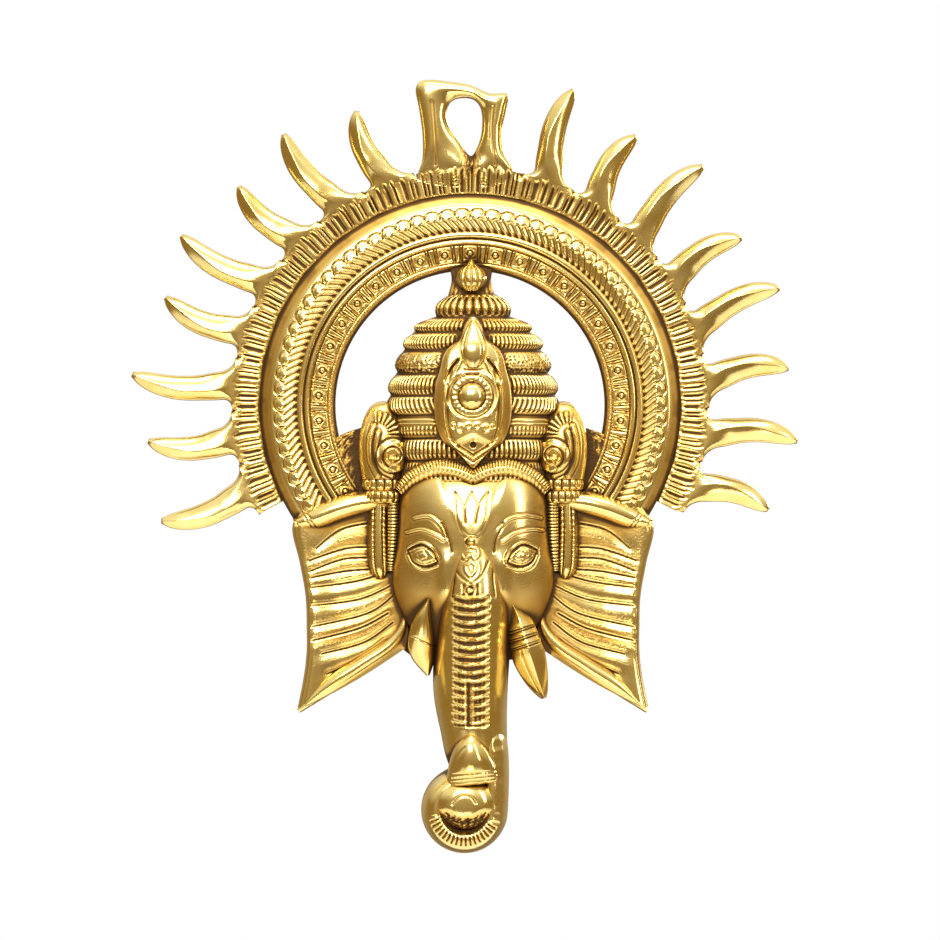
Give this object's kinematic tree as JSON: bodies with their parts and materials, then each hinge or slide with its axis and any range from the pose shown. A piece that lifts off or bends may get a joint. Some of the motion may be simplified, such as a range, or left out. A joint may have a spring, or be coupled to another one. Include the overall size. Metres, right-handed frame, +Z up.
{
  "type": "ganesha wall mask",
  "caption": "Cast brass wall mask of Ganesha's head in a flame-rayed halo, with a hanging eye on top and a hollow back.",
  "frame": {"origin": "back face of the hanging loop's bar, in the wall plane, over the middle of the nail eye", "axes": "+Z up the wall, +X to the viewer's right, -Y out of the wall towards the viewer"},
  "size_m": [0.2418, 0.0312, 0.2799],
  "materials": {
    "polished_brass": "polished high points over a dark brown patina in the recesses"
  },
  "bodies": {
    "root": {"ganesha_mask": "polished_brass"}
  },
  "joints": []
}
